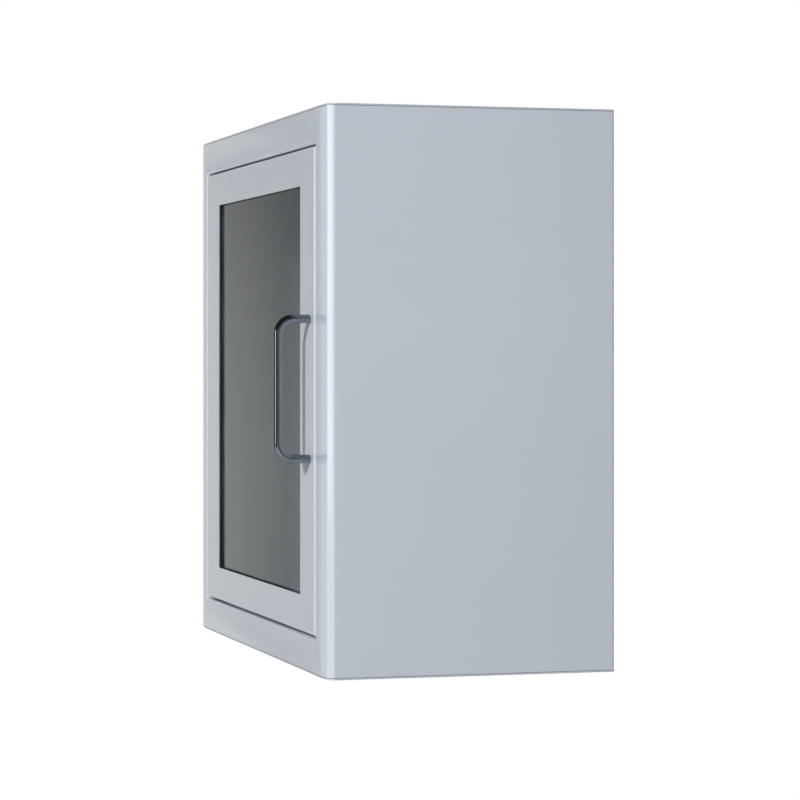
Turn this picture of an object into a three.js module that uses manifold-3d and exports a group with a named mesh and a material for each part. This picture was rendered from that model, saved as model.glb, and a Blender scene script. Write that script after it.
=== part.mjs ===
// Surface-mounted wall cabinet in folded sheet steel, with a flush glazed door. Millimetres, +Z up.
// Origin: centre of the rear face, on the wall. +X is to the right of someone facing the door, and +Y is into
// the wall.
import * as THREE from "three";
import { mergeVertices } from "three/addons/utils/BufferGeometryUtils.js";
import Module from "manifold-3d";

const wasm = await Module();
wasm.setup();

// ---------------------------------------------------------------------------------------- driving dimensions

const WIDTH = 410;
const HEIGHT = 388;
const DEPTH = 205;
const SHEET = 1.2; // steel of the cabinet and the door
const GAP = 0.3; // between separate pieces that touch

const CORNER_BEND = 2.4; // front vertical corners: two bends
const CORNER_LAND = 3.7; // with a narrow flat between them
const CORNER_TURN = THREE.MathUtils.degToRad(45); // how far the flat turns from the front
const FACET_WIDTH = 19.5; // the front leans back a little beside each corner
const FACET_ANGLE = THREE.MathUtils.degToRad(4);
const EDGE_RADIUS = 2; // rear vertical corners
const CAP_ROUNDING = 0.9; // edge of the top and bottom panels
const CAP_FLANGE = 12; // depth of their flange inside the wrapper
const REAR_FLANGE = 16; // wrapper's return along the wall

const FRAME_LEFT = 24.5; // face of the frame at each side of the opening
const FRAME_RIGHT = 32;
const FRAME_TOP = 25.5;
const FRAME_BOTTOM = 25;
const FRAME_RETURN = 12; // depth of the flange round the opening

const DOOR_GAP = { left: 2, right: 3, top: 1.2, bottom: 1.8 };
const DOOR_DEPTH = 14;
const DOOR_LIP = 8; // inward lip along the door's rear edge
const WINDOW_STILE_LEFT = 66; // cabinet's side to the edge of the cut-out
const WINDOW_STILE_RIGHT = 75;
const WINDOW_RAIL = 52.2; // cabinet's top or bottom to the edge of the cut-out

const GASKET_WIDTH = 7;
const GASKET_THICKNESS = 1.2;
const PANE_OVERLAP = 8;
const PANE_THICKNESS = 3;
const THREAD_RADIUS = 1.5; // M3 weld studs and screws
const THREAD_HOLE = THREAD_RADIUS + GAP;
const STUD_LENGTH = 8;
const RETAINER_LIP = 1.5; // cut-out's edge to the retainer's lip
const RETAINER_FOOT = 9;
const STUD_OUT = PANE_OVERLAP + GAP + RETAINER_FOOT / 2 + SHEET / 2; // cut-out's edge to the line of studs

const HANDLE_PITCH = 96;
const HANDLE_RADIUS = 3;
const HANDLE_BEND = 10.5; // centreline
const HANDLE_REACH = 22.7; // door's face to the grip's centreline
const HANDLE_FROM_SIDE = 46.5; // cabinet's right side to the handle's plane
const HANDLE_RISE = 1.3; // above mid-height

const PIVOT_IN = 11; // hinge axis from the door's left edge
const PIVOT_BACK = 6; // and behind its face
const PIN_RADIUS = 2;
const PIN_HOLE = PIN_RADIUS + GAP;
const BUSH_RADIUS = 3.2;
const BUSH_HOLE = BUSH_RADIUS + GAP;
const BUSH_COLLAR = 4.5;
const BUSH_LENGTH = 4.8; // from the frame's edge of the opening
const PIN_ENTRY = BUSH_LENGTH - 1; // how far a pin's tip goes in past that edge
const SPRING_WIRE = 0.35;
const SPRING_TURNS = 8;

const STOP_HEIGHT = 120; // door buffers above and below mid-height

// ------------------------------------------------------------------------------------------- derived places

const FRONT = -DEPTH;
const TOP = HEIGHT / 2;
const SIDE = WIDTH / 2;
const INSIDE_SKIN = FRONT + SHEET + GAP; // first free plane behind the frame and the door's skin

const opening = { x0: FRAME_LEFT - SIDE, x1: SIDE - FRAME_RIGHT, z0: FRAME_BOTTOM - TOP, z1: TOP - FRAME_TOP };
const door = {
  x0: opening.x0 + DOOR_GAP.left,
  x1: opening.x1 - DOOR_GAP.right,
  z0: opening.z0 + DOOR_GAP.bottom,
  z1: opening.z1 - DOOR_GAP.top,
};
const cutout = {
  x0: WINDOW_STILE_LEFT - SIDE,
  x1: SIDE - WINDOW_STILE_RIGHT,
  z0: WINDOW_RAIL - TOP,
  z1: TOP - WINDOW_RAIL,
};
const pivot = { x: door.x0 + PIVOT_IN, y: FRONT + PIVOT_BACK };
const paneFront = INSIDE_SKIN + GASKET_THICKNESS + GAP;
const paneRear = paneFront + PANE_THICKNESS;
const doorRear = FRONT + DOOR_DEPTH;
const jamb = opening.x1 + SHEET + GAP; // outer side of the frame's right return
const handleX = SIDE - HANDLE_FROM_SIDE;

// ----------------------------------------------------------------------------------------- geometry helpers

// Where a shape drawn in its own x-y plane and extruded along its z goes, by the axis it is extruded along.
const PLACED = {
  X: new THREE.Matrix4().set(0, 0, 1, 0, 1, 0, 0, 0, 0, 1, 0, 0, 0, 0, 0, 1),
  Y: new THREE.Matrix4().set(1, 0, 0, 0, 0, 0, -1, 0, 0, 1, 0, 0, 0, 0, 0, 1),
  Z: new THREE.Matrix4(),
};

// A span a little longer than the material between the two faces, for a cut that goes right through.
const through = (from, to) => [from - 1, to + 1];

const grown = (r, by) => ({ x0: r.x0 - by, x1: r.x1 + by, z0: r.z0 - by, z1: r.z1 + by });

// A closed outline from corners [x, y, radius], anticlockwise.
function outline(corners) {
  const shape = new THREE.Shape();
  corners.forEach(([x, y, radius = 0], i) => {
    const corner = new THREE.Vector2(x, y);
    if (!radius) {
      if (i) shape.lineTo(x, y);
      else shape.moveTo(x, y);
      return;
    }
    const [beforeX, beforeY] = corners.at(i - 1);
    const [afterX, afterY] = corners[(i + 1) % corners.length];
    const back = new THREE.Vector2(beforeX, beforeY).sub(corner).normalize();
    const on = new THREE.Vector2(afterX, afterY).sub(corner).normalize();
    const half = Math.acos(back.dot(on)) / 2;
    const centre = back.clone().add(on).setLength(radius / Math.sin(half)).add(corner);
    const start = back.multiplyScalar(radius / Math.tan(half)).add(corner).sub(centre);
    const end = on.clone().multiplyScalar(radius / Math.tan(half)).add(corner).sub(centre);
    shape.absarc(centre.x, centre.y, radius, start.angle(), end.angle(), start.cross(end) < 0);
  });
  return shape;
}

const rectangle = (r, radius) =>
  outline([[r.x0, r.z0, radius], [r.x1, r.z0, radius], [r.x1, r.z1, radius], [r.x0, r.z1, radius]]);

function ring(outer, inner) {
  const shape = rectangle(outer);
  shape.holes.push(rectangle(inner));
  return shape;
}

// Extrudes a shape along an axis. On Y the shape's plane is X-Z, on X it is Y-Z, and on Z it is X-Y.
function prism(axis, shape, from, to, curveSegments = 4) {
  const geometry = new THREE.ExtrudeGeometry(shape, { depth: to - from, bevelEnabled: false, curveSegments });
  return geometry.translate(0, 0, axis === "Y" ? -to : from).applyMatrix4(PLACED[axis]);
}

function block([x0, x1], [y0, y1], [z0, z1]) {
  const box = new THREE.BoxGeometry(x1 - x0, y1 - y0, z1 - z0);
  return box.translate((x0 + x1) / 2, (y0 + y1) / 2, (z0 + z1) / 2);
}

// A solid of revolution: profile points are [radius, place along the axis], and at is a point on the axis.
function turned(axis, profile, at, segments = 16) {
  const lathe = new THREE.LatheGeometry(profile.map(([r, h]) => new THREE.Vector2(r, h)), segments);
  if (axis === "Z") lathe.rotateX(Math.PI / 2);
  if (axis === "X") lathe.rotateZ(-Math.PI / 2);
  return lathe.translate(...at);
}

const rod = (axis, radius, from, to, at, segments = 12) =>
  turned(axis, [[0, from], [radius, from], [radius, to], [0, to]], at, segments);

// A run of straight lengths joined by bends of one radius, measured on the centreline.
class BentLine extends THREE.CurvePath {
  constructor(points, radius) {
    super();
    let from = points[0];
    for (let i = 1; i < points.length - 1; i += 1) {
      const back = points[i - 1].clone().sub(points[i]).normalize();
      const on = points[i + 1].clone().sub(points[i]).normalize();
      const start = back.clone().multiplyScalar(radius).add(points[i]);
      const end = on.clone().multiplyScalar(radius).add(points[i]);
      this.add(new THREE.LineCurve3(from, start));
      this.add(new QuarterBend(points[i], back, on, radius));
      from = end;
    }
    this.add(new THREE.LineCurve3(from, points.at(-1)));
  }
}

// A quarter turn inside a square corner, from the way back to the way on.
class QuarterBend extends THREE.Curve {
  constructor(corner, back, on, radius) {
    super();
    Object.assign(this, { corner, back, on, radius });
  }

  getPoint(t, target = new THREE.Vector3()) {
    const turn = (t * Math.PI) / 2;
    target.copy(this.corner).addScaledVector(this.back, this.radius * (1 - Math.sin(turn)));
    return target.addScaledVector(this.on, this.radius * (1 - Math.cos(turn)));
  }
}

class Helix extends THREE.Curve {
  constructor(radius, turns, from, to, at) {
    super();
    Object.assign(this, { radius, turns, from, to, at });
  }

  getPoint(t, target = new THREE.Vector3()) {
    const turn = 2 * Math.PI * this.turns * t;
    const x = this.at[0] + this.radius * Math.cos(turn);
    const y = this.at[1] + this.radius * Math.sin(turn);
    return target.set(x, y, this.from + (this.to - this.from) * t);
  }
}

function wire(path, radius, steps, sides) {
  const section = new THREE.Shape().absarc(0, 0, radius, 0, 2 * Math.PI);
  return new THREE.ExtrudeGeometry(section, { extrudePath: path, steps, curveSegments: sides / 2 });
}

function toSolid(geometry) {
  const bare = geometry.clone();
  bare.deleteAttribute("normal");
  bare.deleteAttribute("uv");
  const merged = mergeVertices(bare, 1e-4);
  const vertProperties = merged.attributes.position.array;
  const triVerts = new Uint32Array(merged.index.array);
  return new wasm.Manifold(new wasm.Mesh({ numProp: 3, vertProperties, triVerts }));
}

function toGeometry(solid) {
  const mesh = solid.getMesh();
  const geometry = new THREE.BufferGeometry();
  geometry.setAttribute("position", new THREE.BufferAttribute(mesh.vertProperties, 3));
  geometry.setIndex(new THREE.BufferAttribute(mesh.triVerts, 1));
  return geometry.toNonIndexed();
}

const joined = (...all) => toGeometry(all.map(toSolid).reduce((a, b) => a.add(b)));
const cut = (from, ...tools) => toGeometry(tools.map(toSolid).reduce((a, b) => a.subtract(b), toSolid(from)));

// ------------------------------------------------------------------------------------------------ materials

const finish = (color, roughness, metalness, opacity = 1) =>
  new THREE.MeshStandardMaterial({ color, roughness, metalness, opacity, transparent: opacity < 1 });
const paint = finish(0xbac2ca, 0.28, 0);
const steel = finish(0x8b929c, 0.32, 1);
const zinc = finish(0xb7bcc0, 0.35, 1);
const blackRubber = finish(0x161718, 0.7, 0);
const nylon = finish(0x7c7d7f, 0.5, 0);
const ferrite = finish(0x35363a, 0.6, 0.2);
const glass = finish(0x9aa3a6, 0.05, 0, 0.35);

// ------------------------------------------------------------------------------------------------- assembly

const cabinet = new THREE.Group();
const doorLeaf = new THREE.Group();

function piece(group, name, geometry, material) {
  geometry.computeVertexNormals();
  const mesh = new THREE.Mesh(geometry, material);
  mesh.name = name;
  group.add(mesh);
}

// --------------------------------------------------------------------------------------------- cabinet body

// The cabinet seen from above, a distance inside its outer surface. A front corner's land runs on to the two
// corners that its bends round.
function plan(inset) {
  const side = SIDE - inset;
  const front = FRONT + inset;
  const facet = SIDE - FACET_WIDTH;
  const bend = CORNER_BEND - inset;
  const turns = [CORNER_TURN - FACET_ANGLE, Math.PI / 2 - CORNER_TURN];
  const land = CORNER_LAND + bend * (Math.tan(turns[0] / 2) + Math.tan(turns[1] / 2));
  const landX = side - land * Math.cos(CORNER_TURN);
  const landY = front + (landX - facet) * Math.tan(FACET_ANGLE);
  const sideY = landY + land * Math.sin(CORNER_TURN);
  const radius = Math.max(bend, 0.3);
  const rearBend = Math.max(EDGE_RADIUS - inset, 0);
  return outline([
    [side, -inset, rearBend],
    [-side, -inset, rearBend],
    [-side, sideY, radius],
    [-landX, landY, radius],
    [-facet, front],
    [facet, front],
    [landX, landY, radius],
    [side, sideY, radius],
  ]);
}

function planRing(outerInset, innerInset) {
  const shape = plan(outerInset);
  shape.holes.push(plan(innerInset));
  return shape;
}

function makeWrapper() {
  const top = TOP - SHEET - GAP;
  const shell = prism("Z", planRing(0, SHEET), -top, top);
  const rearX = SIDE - REAR_FLANGE;
  const rear = block([-rearX, rearX], through(-SHEET, 0), [-TOP, TOP]);
  const mouth = prism("Y", rectangle(opening), ...through(FRONT, FRONT + SHEET));
  const flange = prism("Y", ring(grown(opening, SHEET), opening), FRONT, FRONT + FRAME_RETURN);
  const bushHoles = [-1, 1].map(bushHole);
  piece(cabinet, "wrapper", cut(joined(cut(shell, rear, mouth), flange), ...bushHoles), paint);
}

// The bore for a hinge bush, through the frame's return and the bracket beyond it. end is 1 at the top.
function bushHole(end) {
  const length = 2 * BUSH_LENGTH;
  const middle = end > 0 ? opening.z1 : opening.z0;
  return rod("Z", BUSH_HOLE, middle - length / 2, middle + length / 2, [pivot.x, pivot.y, 0]);
}

// A flat plate over the end of the wrapper, its outer edge rounded, with a flange that fits inside.
function makeCap(name, end) {
  const plate = new THREE.ExtrudeGeometry(plan(0), {
    depth: SHEET,
    bevelThickness: CAP_ROUNDING,
    bevelSize: CAP_ROUNDING,
    bevelOffset: -CAP_ROUNDING,
    bevelSegments: 2,
    curveSegments: 4,
  });
  plate.translate(0, 0, TOP - SHEET - CAP_ROUNDING);
  const below = block([-WIDTH, WIDTH], [-DEPTH * 2, DEPTH], [0, TOP - SHEET]);
  const flangeRing = planRing(SHEET + GAP, 2 * SHEET + GAP);
  const flange = prism("Z", flangeRing, TOP - SHEET - CAP_FLANGE, TOP - SHEET / 2);
  const cap = joined(cut(plate, below), flange);
  piece(cabinet, name, end > 0 ? cap : cap.rotateY(Math.PI), paint);
}

const KEYHOLE_X = 150;
const KEYHOLE_Z = 120;
const KEYHOLE_HEAD = 5.5;
const KEYHOLE_NECK = 2.8;
const KEYHOLE_RISE = 12;
const RIM_LAP = REAR_FLANGE - 4; // how far the back panel's rim laps over the rear flange

// A hole for a screw's head with a neck above it that the screw hangs in.
function keyhole(x, z) {
  const depth = through(-SHEET, 0);
  const head = rod("Y", KEYHOLE_HEAD, ...depth, [x, 0, z]);
  const neckEnd = rod("Y", KEYHOLE_NECK, ...depth, [x, 0, z + KEYHOLE_RISE]);
  const neck = block([x - KEYHOLE_NECK, x + KEYHOLE_NECK], depth, [z, z + KEYHOLE_RISE]);
  return joined(head, neckEnd, neck);
}

// The field lies flush with the wrapper's rear flanges, and a joggled rim on each side laps in front of them.
function makeBackPanel() {
  const edge = SIDE - REAR_FLANGE - GAP;
  const tall = TOP - SHEET - GAP;
  const rimTall = TOP - SHEET - CAP_FLANGE - GAP;
  const rimY = [-2 * SHEET - GAP, -SHEET - GAP];
  const rims = [-1, 1].flatMap((side) => {
    const across = (a, b) => (side > 0 ? [a, b] : [-b, -a]);
    return [
      block(across(edge - SHEET, edge), [rimY[0], 0], [-rimTall, rimTall]),
      block(across(edge - SHEET, edge + RIM_LAP), rimY, [-rimTall, rimTall]),
    ];
  });
  const field = block([-edge, edge], [-SHEET, 0], [-tall, tall]);
  const holes = [-1, 1].flatMap((x) => [-1, 1].map((z) => keyhole(x * KEYHOLE_X, z * KEYHOLE_Z)));
  piece(cabinet, "back_panel", cut(joined(field, ...rims), ...holes), paint);
}

// --------------------------------------------------------------------------------------------------- hinges

const BRACKET_SHEET = 1.5;
const BRACKET_SPAN = [pivot.x - 20, pivot.x + 22];
const BRACKET_DEPTH = [INSIDE_SKIN, FRONT + FRAME_RETURN + 3];
const BRACKET_UPSTAND = 12;

// Stiffens the frame's return round a bush: a plate with an upstand along its rear edge.
function makeHingeBracket(name, end) {
  const seat = end > 0 ? opening.z1 + SHEET + GAP : opening.z0 - SHEET - GAP;
  const away = (a, b) => (end > 0 ? [seat + a, seat + b] : [seat - b, seat - a]);
  const plate = block(BRACKET_SPAN, BRACKET_DEPTH, away(0, BRACKET_SHEET));
  const upstandY = [BRACKET_DEPTH[1] - BRACKET_SHEET, BRACKET_DEPTH[1]];
  const upstand = block(BRACKET_SPAN, upstandY, away(0, BRACKET_UPSTAND));
  piece(cabinet, name, cut(joined(plate, upstand), bushHole(end)), zinc);
}

// The collar lies in the gap between the door and the frame. body is the bush's other end.
function makeBush(name, collarDoor, collarFrame, body) {
  const profile = [
    [PIN_HOLE, collarDoor],
    [BUSH_COLLAR, collarDoor],
    [BUSH_COLLAR, collarFrame],
    [BUSH_RADIUS, collarFrame],
    [BUSH_RADIUS, body],
    [PIN_HOLE, body],
    [PIN_HOLE, collarDoor],
  ];
  if (body < collarDoor) profile.reverse();
  piece(cabinet, name, turned("Z", profile, [pivot.x, pivot.y, 0]), nylon);
}

const PIN_COLLAR = 3.3;
const PIN_COLLAR_HEIGHT = 2;
const PIN_BEND = 4;
const TAIL_HEIGHT = 118; // the finger pull at the foot of the sprung pin
const TAIL_REACH = 13;
const GUIDE_HEIGHT = 128;
const GUIDE_LEG = [GUIDE_HEIGHT - 14, GUIDE_HEIGHT + 26];
const GUIDE_EAR = 5.5; // past the hinge axis

function makeLowerPin() {
  const head = door.z0 + SHEET + GAP;
  const tip = opening.z0 - PIN_ENTRY;
  const profile = [
    [0, tip],
    [PIN_RADIUS, tip],
    [PIN_RADIUS, head],
    [PIN_COLLAR, head],
    [PIN_COLLAR, head + PIN_COLLAR_HEIGHT],
    [0, head + PIN_COLLAR_HEIGHT],
  ];
  piece(doorLeaf, "lower_hinge_pin", turned("Z", profile, [pivot.x, pivot.y, 0]), zinc);
}

// Its collar rests under the door's top flange, and its tail is pulled down to let the door out.
function makeUpperPin() {
  const collarTop = door.z1 - SHEET - GAP;
  const route = [
    new THREE.Vector3(pivot.x, pivot.y + TAIL_REACH, TAIL_HEIGHT),
    new THREE.Vector3(pivot.x, pivot.y, TAIL_HEIGHT),
    new THREE.Vector3(pivot.x, pivot.y, opening.z1 + PIN_ENTRY),
  ];
  const shank = wire(new BentLine(route, PIN_BEND), PIN_RADIUS, 30, 12);
  const collar = rod("Z", PIN_COLLAR, collarTop - PIN_COLLAR_HEIGHT, collarTop, [pivot.x, pivot.y, 0]);
  piece(doorLeaf, "upper_hinge_pin", joined(shank, collar), zinc);
}

function makePinGuide() {
  const wall = door.x0 + SHEET + GAP;
  const deep = [INSIDE_SKIN, doorRear - SHEET - GAP];
  const leg = block([wall, wall + SHEET], deep, GUIDE_LEG);
  const ear = block([wall, pivot.x + GUIDE_EAR], deep, [GUIDE_HEIGHT, GUIDE_HEIGHT + SHEET]);
  const hole = rod("Z", PIN_HOLE, ...through(GUIDE_HEIGHT, GUIDE_HEIGHT + SHEET), [pivot.x, pivot.y, 0]);
  piece(doorLeaf, "upper_pin_guide", cut(joined(leg, ear), hole), zinc);
}

function makePinSpring() {
  const from = GUIDE_HEIGHT + SHEET + GAP + SPRING_WIRE;
  const to = door.z1 - SHEET - GAP - PIN_COLLAR_HEIGHT - GAP - SPRING_WIRE;
  const radius = PIN_COLLAR - SPRING_WIRE;
  const coil = new Helix(radius, SPRING_TURNS, from, to, [pivot.x, pivot.y]);
  piece(doorLeaf, "upper_pin_spring", wire(coil, SPRING_WIRE, SPRING_TURNS * 10, 6), zinc);
}

// ----------------------------------------------------------------------------------------------------- door

// The studs that hold the glazing retainers: along, then out from the cut-out's edge.
const STUDS = { top: [-100, 100], bottom: [-100, 100], left: [-90, 90], right: [-100, 100] };
const AT_EDGE = {
  top: (along, out) => [along, cutout.z1 + out],
  bottom: (along, out) => [along, cutout.z0 - out],
  left: (along, out) => [cutout.x0 - out, along],
  right: (along, out) => [cutout.x1 + out, along],
};
const studPlaces = Object.entries(STUDS).flatMap(([edge, places]) =>
  places.map((along) => AT_EDGE[edge](along, STUD_OUT)),
);

const handleHeights = [HANDLE_RISE - HANDLE_PITCH / 2, HANDLE_RISE + HANDLE_PITCH / 2];
const RIVET_X = door.x1 - DOOR_LIP / 2;
const RIVET_Z = 24;

function makeDoorPanel() {
  const skin = prism("Y", ring(door, cutout), FRONT, FRONT + SHEET);
  const sides = prism("Y", ring(door, grown(door, -SHEET)), FRONT, doorRear);
  const lip = prism("Y", ring(door, grown(door, -DOOR_LIP)), doorRear - SHEET, doorRear);
  const studs = studPlaces.map(([x, z]) =>
    rod("Y", THREAD_RADIUS, FRONT + SHEET / 2, FRONT + SHEET + STUD_LENGTH, [x, 0, z]),
  );
  const throughSkin = through(FRONT, FRONT + SHEET);
  const throughLip = through(doorRear - SHEET, doorRear);
  const holes = [
    ...handleHeights.map((z) => rod("Y", THREAD_HOLE, ...throughSkin, [handleX, 0, z])),
    ...[-RIVET_Z, RIVET_Z].map((z) => rod("Y", THREAD_HOLE, ...throughLip, [RIVET_X, 0, z])),
    ...[door.z0, door.z1].map((z) => rod("Z", PIN_HOLE, z - 2 * SHEET, z + 2 * SHEET, [pivot.x, pivot.y, 0])),
  ];
  piece(doorLeaf, "door_panel", cut(joined(skin, sides, lip, ...studs), ...holes), paint);
}

function makeGlazing() {
  const gasketRear = INSIDE_SKIN + GASKET_THICKNESS;
  const gasket = prism("Y", ring(grown(cutout, GASKET_WIDTH), cutout), INSIDE_SKIN, gasketRear);
  piece(doorLeaf, "window_gasket", gasket, blackRubber);
  const pane = prism("Y", rectangle(grown(cutout, PANE_OVERLAP)), paneFront, paneRear);
  piece(doorLeaf, "window_pane", pane, glass);
}

// A retainer's section: a lip behind the pane, a step down past its edge, and a foot on the door's skin.
function retainerSection(place) {
  const step = PANE_OVERLAP + GAP;
  const lipFront = paneRear + GAP;
  const points = [
    [RETAINER_LIP, lipFront],
    [step, lipFront],
    [step, INSIDE_SKIN],
    [step + RETAINER_FOOT, INSIDE_SKIN],
    [step + RETAINER_FOOT, INSIDE_SKIN + SHEET],
    [step + SHEET, INSIDE_SKIN + SHEET],
    [step + SHEET, lipFront + SHEET],
    [RETAINER_LIP, lipFront + SHEET],
  ];
  return outline(points.map(([out, y]) => place(out, y)));
}

function makeRetainer(edge) {
  const level = edge === "top" || edge === "bottom";
  const at = (out) => AT_EDGE[edge](0, out)[level ? 1 : 0];
  const section = retainerSection((out, y) => (level ? [y, at(out)] : [at(out), y]));
  const span = level ? [cutout.x0 - PANE_OVERLAP, cutout.x1 + PANE_OVERLAP] : [cutout.z0 - 1, cutout.z1 + 1];
  const strip = prism(level ? "X" : "Z", section, ...span);
  const holes = STUDS[edge].map((along) => {
    const [x, z] = AT_EDGE[edge](along, STUD_OUT);
    return rod("Y", THREAD_HOLE, ...through(INSIDE_SKIN, INSIDE_SKIN + SHEET), [x, 0, z]);
  });
  piece(doorLeaf, `retainer_${edge}`, cut(strip, ...holes), zinc);
}

const NUT_ACROSS_FLATS = 5.5;
const NUT_HEIGHT = 2.4;

function makeNuts() {
  const front = INSIDE_SKIN + SHEET + GAP;
  studPlaces.forEach(([x, z], i) => {
    const hex = rod("Y", NUT_ACROSS_FLATS / Math.sqrt(3), front, front + NUT_HEIGHT, [x, 0, z], 6);
    const hole = rod("Y", THREAD_HOLE, ...through(front, front + NUT_HEIGHT), [x, 0, z]);
    piece(doorLeaf, `retainer_nut_${i + 1}`, cut(hex, hole), zinc);
  });
}

// --------------------------------------------------------------------------------------------------- handle

const SCREW_HEAD = 2.8;
const SCREW_HEAD_HEIGHT = 2;
const SCREW_SHANK = 9;
const WASHER = 4;
const WASHER_THICKNESS = 0.8;
const HANDLE_BORE = 10;

function makeHandle() {
  const foot = FRONT - GAP;
  const grip = FRONT - HANDLE_REACH;
  const [low, high] = handleHeights;
  const corners = [[foot, low], [grip, low], [grip, high], [foot, high]];
  const route = corners.map(([y, z]) => new THREE.Vector3(handleX, y, z));
  const bow = wire(new BentLine(route, HANDLE_BEND), HANDLE_RADIUS, 48, 12);
  const bored = [foot - HANDLE_BORE, foot + 1];
  const bores = handleHeights.map((z) => rod("Y", THREAD_HOLE, ...bored, [handleX, 0, z]));
  piece(doorLeaf, "handle", cut(bow, ...bores), steel);
}

// A pan-head screw, measured from under its head.
const screwProfile = [
  [0, -SCREW_SHANK],
  [THREAD_RADIUS, -SCREW_SHANK],
  [THREAD_RADIUS, 0],
  [SCREW_HEAD, 0],
  [SCREW_HEAD, SCREW_HEAD_HEIGHT / 2],
  [SCREW_HEAD * 0.7, SCREW_HEAD_HEIGHT],
  [0, SCREW_HEAD_HEIGHT],
];

function makeHandleFasteners() {
  const washerRear = INSIDE_SKIN + WASHER_THICKNESS;
  handleHeights.forEach((z, i) => {
    const which = ["lower", "upper"][i];
    const disc = rod("Y", WASHER, INSIDE_SKIN, washerRear, [handleX, 0, z], 16);
    const hole = rod("Y", THREAD_HOLE, ...through(INSIDE_SKIN, washerRear), [handleX, 0, z]);
    piece(doorLeaf, `handle_washer_${which}`, cut(disc, hole), zinc);
    const screw = turned("Y", screwProfile, [handleX, washerRear + GAP, z], 12);
    piece(doorLeaf, `handle_screw_${which}`, screw, zinc);
  });
}

// --------------------------------------------------------------------------------- magnetic catch and stops

const STRIKE_THICKNESS = 1.5;
const STRIKE_ACROSS = [door.x1 - 11, door.x1 - 0.5];
const STRIKE_HALF = RIVET_Z + 5;
const RIVET_HEAD = 2.6;
const RIVET_HEAD_HEIGHT = 1;
const POLE_THICKNESS = 1.2;
const POLE_PROUD = 1; // of the housing's mouth
const MAGNET_THICKNESS = 5;
const MAGNET_HALF = 15;
const MAGNET_RECESS = 0.5;
const CATCH_SIZE = 16; // the housing's width and depth
const CATCH_HALF = 20; // half its height
const CATCH_WALL = 2;
const CATCH_FLOOR = 4;
const CATCH_SCREW_Z = 17.5;

const strikeRear = doorRear + GAP + STRIKE_THICKNESS;
const poleFront = strikeRear + GAP;
const catchFront = poleFront + POLE_PROUD;
const catchRear = catchFront + CATCH_SIZE;
const catchScrewY = (catchFront + catchRear) / 2;
const bothEnds = { lower: -1, upper: 1 };

function makeStrike() {
  const plate = block(STRIKE_ACROSS, [doorRear + GAP, strikeRear], [-STRIKE_HALF, STRIKE_HALF]);
  const holes = [-RIVET_Z, RIVET_Z].map((z) =>
    rod("Y", THREAD_HOLE, ...through(doorRear, strikeRear), [RIVET_X, 0, z]),
  );
  piece(doorLeaf, "strike_plate", cut(plate, ...holes), steel);
}

// A head on each side of the door's lip and the strike plate, joined by the shank.
function makeRivets() {
  const front = doorRear - SHEET - GAP;
  const rear = strikeRear + GAP;
  const profile = [
    [0, front - RIVET_HEAD_HEIGHT],
    [RIVET_HEAD, front - RIVET_HEAD_HEIGHT],
    [RIVET_HEAD, front],
    [THREAD_RADIUS, front],
    [THREAD_RADIUS, rear],
    [RIVET_HEAD, rear],
    [0, rear + RIVET_HEAD_HEIGHT],
  ];
  for (const [which, end] of Object.entries(bothEnds)) {
    piece(doorLeaf, `strike_rivet_${which}`, turned("Y", profile, [RIVET_X, 0, end * RIVET_Z], 12), zinc);
  }
}

// A plastic box with its mouth towards the door, holding a magnet between two pole plates.
function makeCatch() {
  const left = jamb - CATCH_SIZE;
  const half = MAGNET_THICKNESS / 2 + GAP + POLE_THICKNESS;
  const middle = left + CATCH_WALL + GAP + half;
  const floor = catchRear - CATCH_FLOOR;
  const tall = [-MAGNET_HALF, MAGNET_HALF];

  const body = block([left, jamb], [catchFront, catchRear], [-CATCH_HALF, CATCH_HALF]);
  const mouthTall = [-MAGNET_HALF - GAP, MAGNET_HALF + GAP];
  const mouth = block([middle - half - GAP, middle + half + GAP], [catchFront - 1, floor], mouthTall);
  const bores = [-CATCH_SCREW_Z, CATCH_SCREW_Z].map((z) =>
    rod("X", THREAD_HOLE, jamb - SCREW_SHANK, jamb + 1, [0, catchScrewY, z]),
  );
  piece(cabinet, "catch_housing", cut(body, mouth, ...bores), nylon);

  const acrossMagnet = [middle - MAGNET_THICKNESS / 2, middle + MAGNET_THICKNESS / 2];
  const magnetDepth = [catchFront + MAGNET_RECESS, floor - GAP];
  piece(cabinet, "catch_magnet", block(acrossMagnet, magnetDepth, tall), ferrite);
  const poleLeft = [middle - half, middle - half + POLE_THICKNESS];
  const poleRight = [middle + half - POLE_THICKNESS, middle + half];
  piece(cabinet, "catch_pole_left", block(poleLeft, [poleFront, floor - GAP], tall), steel);
  piece(cabinet, "catch_pole_right", block(poleRight, [poleFront, floor - GAP], tall), steel);
}

const CATCH_BRACKET_HALF = 26;
const CATCH_BRACKET_REAR = catchRear + 3;
const CATCH_BRACKET_TURN = 10; // width of its stiffening turn

// A plate on the frame's right return that carries the catch, with its two screws.
function makeCatchBracket() {
  const from = jamb + GAP;
  const tall = [-CATCH_BRACKET_HALF, CATCH_BRACKET_HALF];
  const plate = block([from, from + BRACKET_SHEET], [INSIDE_SKIN, CATCH_BRACKET_REAR], tall);
  const turnDepth = [CATCH_BRACKET_REAR - BRACKET_SHEET, CATCH_BRACKET_REAR];
  const turn = block([from, from + CATCH_BRACKET_TURN], turnDepth, tall);
  const holes = [-CATCH_SCREW_Z, CATCH_SCREW_Z].map((z) =>
    rod("X", THREAD_HOLE, ...through(from, from + BRACKET_SHEET), [0, catchScrewY, z]),
  );
  piece(cabinet, "catch_bracket", cut(joined(plate, turn), ...holes), zinc);
  for (const [which, end] of Object.entries(bothEnds)) {
    const at = [from + BRACKET_SHEET + GAP, catchScrewY, end * CATCH_SCREW_Z];
    piece(cabinet, `catch_screw_${which}`, turned("X", screwProfile, at, 12), zinc);
  }
}

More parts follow.
